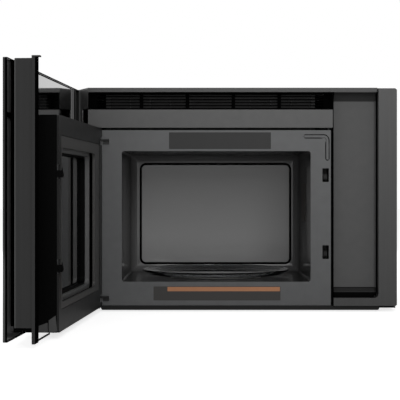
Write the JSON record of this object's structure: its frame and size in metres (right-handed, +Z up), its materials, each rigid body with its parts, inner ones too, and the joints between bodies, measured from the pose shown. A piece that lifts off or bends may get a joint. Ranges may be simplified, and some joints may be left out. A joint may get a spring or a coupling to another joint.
{
  "type": "over the range microwave",
  "caption": "Over-the-range microwave oven with a side-hung full-width glass door shown open, a vent strip above it, a turntable, and a dark satin finish.",
  "frame": {"origin": "middle of the rear panel's outer face, which hangs against the wall", "axes": "+Z up, the front faces -Y, +X to the right seen from the front"},
  "size_m": [0.8091, 1.1024, 0.5215],
  "materials": {
    "painted_steel": "satin dark grey paint",
    "oven_enamel": "glossy dark grey enamel",
    "black_plastic": "fine-grained black",
    "dark_trim": "satin black stainless",
    "black_glass": "polished black mirror glass",
    "clear_glass": "clear tempered glass",
    "zinc_steel": "zinc-plated sheet",
    "aluminium": "plain aluminium",
    "copper_winding": "lacquered winding",
    "light_plastic": "natural moulded plastic",
    "circuit_board": "green board",
    "mica": "pressed mica"
  },
  "bodies": {
    "cabinet": {"outer_cabinet": "painted_steel", "rear_panel": "zinc_steel", "base_pan": "painted_steel", "bottom_rail": "black_plastic", "vent_louver": "black_plastic", "upper_front_panel": "painted_steel", "oven_face_plate": "oven_enamel", "cavity_liner": "oven_enamel", "right_post": "dark_trim", "recess_panel": "dark_trim", "charcoal_filter": "black_plastic", "cooktop_lamp_lens_left": "clear_glass", "cooktop_lamp_lens_right": "clear_glass", "cooktop_lamp_left": "light_plastic", "cooktop_lamp_right": "light_plastic", "turntable_motor": "zinc_steel", "blower_deck": "zinc_steel", "blower_housing_left": "zinc_steel", "blower_housing_right": "zinc_steel", "blower_motor": "zinc_steel", "waveguide_cover": "mica", "waveguide": "aluminium", "magnetron": "zinc_steel", "transformer": "copper_winding", "capacitor": "aluminium", "fan_shroud": "black_plastic", "power_board": "circuit_board", "cavity_lamp": "light_plastic", "latch_board": "light_plastic", "door_switch_upper": "black_plastic", "door_switch_lower": "black_plastic", "hinge_bracket_upper": "zinc_steel", "hinge_bracket_lower": "zinc_steel"},
    "door": {"door_glass": "black_glass", "glass_frame": "black_plastic", "door_chassis": "black_plastic", "choke_cover": "black_plastic", "door_inner_panel": "dark_trim", "window_bezel": "dark_trim", "window_screen": "black_plastic", "inner_window": "black_glass", "handle_channel": "dark_trim", "control_housing": "black_plastic", "touch_board": "circuit_board", "latch_spring": "zinc_steel", "latch_guide": "black_plastic", "hinge_pin_upper": "zinc_steel", "hinge_pin_lower": "zinc_steel"},
    "latch": {"latch_slide": "black_plastic"},
    "turntable": {"turntable_tray": "clear_glass", "turntable_coupler": "light_plastic"},
    "rollers": {"roller_ring": "light_plastic"},
    "blower_rotor": {"blower_wheel_left": "black_plastic", "blower_wheel_right": "black_plastic", "blower_shaft": "zinc_steel"},
    "fan_rotor": {"cooling_fan": "black_plastic"},
    "plunger_upper": {"switch_plunger_upper": "light_plastic"},
    "plunger_lower": {"switch_plunger_lower": "light_plastic"},
    "filter_left": {"grease_filter_left": "aluminium"},
    "filter_right": {"grease_filter_right": "aluminium"}
  },
  "joints": [
    {"name": "door_hinge", "type": "hinge", "parent": "cabinet", "child": "door", "pos_m": [-0.3155, -0.412, 0], "axis": [0, 0, 1], "range_deg": [0, 94]},
    {"name": "latch_slide_travel", "type": "slide", "parent": "door", "child": "latch", "axis": [0, 0, 1], "range_m": [0, 0.005], "stiffness_N_per_m": 250, "springref_m": -0.012, "deforming": ["latch_spring"]},
    {"name": "turntable_spin", "type": "hinge", "parent": "cabinet", "child": "turntable", "pos_m": [-0.0425, -0.21, -0.1835], "axis": [0, 0, 1], "continuous": true},
    {"name": "roller_ring_spin", "type": "hinge", "parent": "cabinet", "child": "rollers", "pos_m": [-0.0425, -0.21, -0.1905], "axis": [0, 0, 1], "continuous": true},
    {"name": "blower_spin", "type": "hinge", "parent": "cabinet", "child": "blower_rotor", "pos_m": [-0.0495, -0.108, 0.188], "axis": [1, 0, 0], "continuous": true},
    {"name": "cooling_fan_spin", "type": "hinge", "parent": "cabinet", "child": "fan_rotor", "pos_m": [0.3105, -0.0275, 0.1395], "axis": [0, 1, 0], "continuous": true},
    {"name": "switch_plunger_upper_press", "type": "slide", "parent": "cabinet", "child": "plunger_upper", "axis": [0, 1, 0], "range_m": [0, 0.003], "stiffness_N_per_m": 120, "springref_m": -0.004},
    {"name": "switch_plunger_lower_press", "type": "slide", "parent": "cabinet", "child": "plunger_lower", "axis": [0, 1, 0], "range_m": [0, 0.003], "stiffness_N_per_m": 120, "springref_m": -0.004},
    {"name": "grease_filter_left_slide", "type": "slide", "parent": "cabinet", "child": "filter_left", "axis": [0, 1, 0], "range_m": [0, 0.012]},
    {"name": "grease_filter_right_slide", "type": "slide", "parent": "cabinet", "child": "filter_right", "axis": [0, 1, 0], "range_m": [0, 0.012]}
  ],
  "couplings": [
    {"joint": "roller_ring_spin", "follows": "turntable_spin", "ratio": 0.5}
  ]
}
